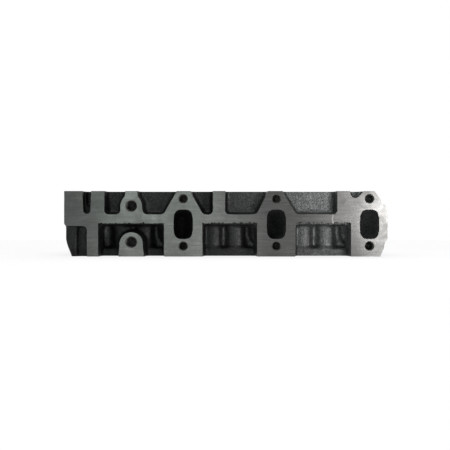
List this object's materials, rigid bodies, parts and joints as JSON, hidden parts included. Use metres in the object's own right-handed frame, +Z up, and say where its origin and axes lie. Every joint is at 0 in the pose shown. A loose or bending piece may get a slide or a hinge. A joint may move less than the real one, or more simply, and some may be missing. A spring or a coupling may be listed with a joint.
{
  "type": "cylinder head with intake manifold face",
  "caption": "Inline overhead-valve diesel cylinder head in cast iron, seen on its intake-manifold face, with sprung valves that open.",
  "frame": {"origin": "centre of the deck face's footprint: the middle of the length and width, at the deck", "axes": "+X along the crankshaft line with the paired bracket holes towards -X, -Y out of the intake-manifold face, +Z up from the deck to the rocker-cover rail"},
  "size_m": [0.375, 0.188, 0.076],
  "materials": {
    "cast_iron": "as-cast iron with milled faces",
    "valve_steel": "ground",
    "spring_steel": "dark oiled",
    "retainer_steel": "phosphated",
    "collet_steel": "satin",
    "seal_rubber": "matt",
    "guide_bronze": "turned",
    "seat_alloy": "ground",
    "sleeve_copper": "drawn",
    "plug_plated": "zinc plated"
  },
  "bodies": {
    "head": {"head_casting": "cast_iron", "intake_spring_1": "spring_steel", "intake_spring_2": "spring_steel", "intake_spring_3": "spring_steel", "exhaust_spring_1": "spring_steel", "exhaust_spring_2": "spring_steel", "exhaust_spring_3": "spring_steel", "intake_seal_1": "seal_rubber", "intake_seal_2": "seal_rubber", "intake_seal_3": "seal_rubber", "exhaust_seal_1": "seal_rubber", "exhaust_seal_2": "seal_rubber", "exhaust_seal_3": "seal_rubber", "intake_guide_1": "guide_bronze", "intake_guide_2": "guide_bronze", "intake_guide_3": "guide_bronze", "exhaust_guide_1": "guide_bronze", "exhaust_guide_2": "guide_bronze", "exhaust_guide_3": "guide_bronze", "intake_seat_1": "seat_alloy", "intake_seat_2": "seat_alloy", "intake_seat_3": "seat_alloy", "exhaust_seat_1": "seat_alloy", "exhaust_seat_2": "seat_alloy", "exhaust_seat_3": "seat_alloy", "injector_sleeve_1": "sleeve_copper", "injector_sleeve_2": "sleeve_copper", "injector_sleeve_3": "sleeve_copper", "core_plug_left": "plug_plated", "core_plug_right": "plug_plated", "core_plug_rear_1": "plug_plated", "core_plug_rear_2": "plug_plated", "core_plug_rear_3": "plug_plated", "gallery_plug_left": "plug_plated", "gallery_plug_right": "plug_plated"},
    "intake_valve_unit_1": {"intake_valve_1": "valve_steel", "intake_retainer_1": "retainer_steel", "intake_collets_1": "collet_steel"},
    "intake_valve_unit_2": {"intake_valve_2": "valve_steel", "intake_retainer_2": "retainer_steel", "intake_collets_2": "collet_steel"},
    "intake_valve_unit_3": {"intake_valve_3": "valve_steel", "intake_retainer_3": "retainer_steel", "intake_collets_3": "collet_steel"},
    "exhaust_valve_unit_1": {"exhaust_valve_1": "valve_steel", "exhaust_retainer_1": "retainer_steel", "exhaust_collets_1": "collet_steel"},
    "exhaust_valve_unit_2": {"exhaust_valve_2": "valve_steel", "exhaust_retainer_2": "retainer_steel", "exhaust_collets_2": "collet_steel"},
    "exhaust_valve_unit_3": {"exhaust_valve_3": "valve_steel", "exhaust_retainer_3": "retainer_steel", "exhaust_collets_3": "collet_steel"}
  },
  "joints": [
    {"name": "intake_valve_lift_1", "type": "slide", "parent": "head", "child": "intake_valve_unit_1", "axis": [0, 0, -1], "range_m": [0, 0.009], "stiffness_N_per_m": 15000, "deforming": ["intake_spring_1"]},
    {"name": "intake_valve_lift_2", "type": "slide", "parent": "head", "child": "intake_valve_unit_2", "axis": [0, 0, -1], "range_m": [0, 0.009], "stiffness_N_per_m": 15000, "deforming": ["intake_spring_2"]},
    {"name": "intake_valve_lift_3", "type": "slide", "parent": "head", "child": "intake_valve_unit_3", "axis": [0, 0, -1], "range_m": [0, 0.009], "stiffness_N_per_m": 15000, "deforming": ["intake_spring_3"]},
    {"name": "exhaust_valve_lift_1", "type": "slide", "parent": "head", "child": "exhaust_valve_unit_1", "axis": [0, 0, -1], "range_m": [0, 0.009], "stiffness_N_per_m": 15000, "deforming": ["exhaust_spring_1"]},
    {"name": "exhaust_valve_lift_2", "type": "slide", "parent": "head", "child": "exhaust_valve_unit_2", "axis": [0, 0, -1], "range_m": [0, 0.009], "stiffness_N_per_m": 15000, "deforming": ["exhaust_spring_2"]},
    {"name": "exhaust_valve_lift_3", "type": "slide", "parent": "head", "child": "exhaust_valve_unit_3", "axis": [0, 0, -1], "range_m": [0, 0.009], "stiffness_N_per_m": 15000, "deforming": ["exhaust_spring_3"]}
  ]
}
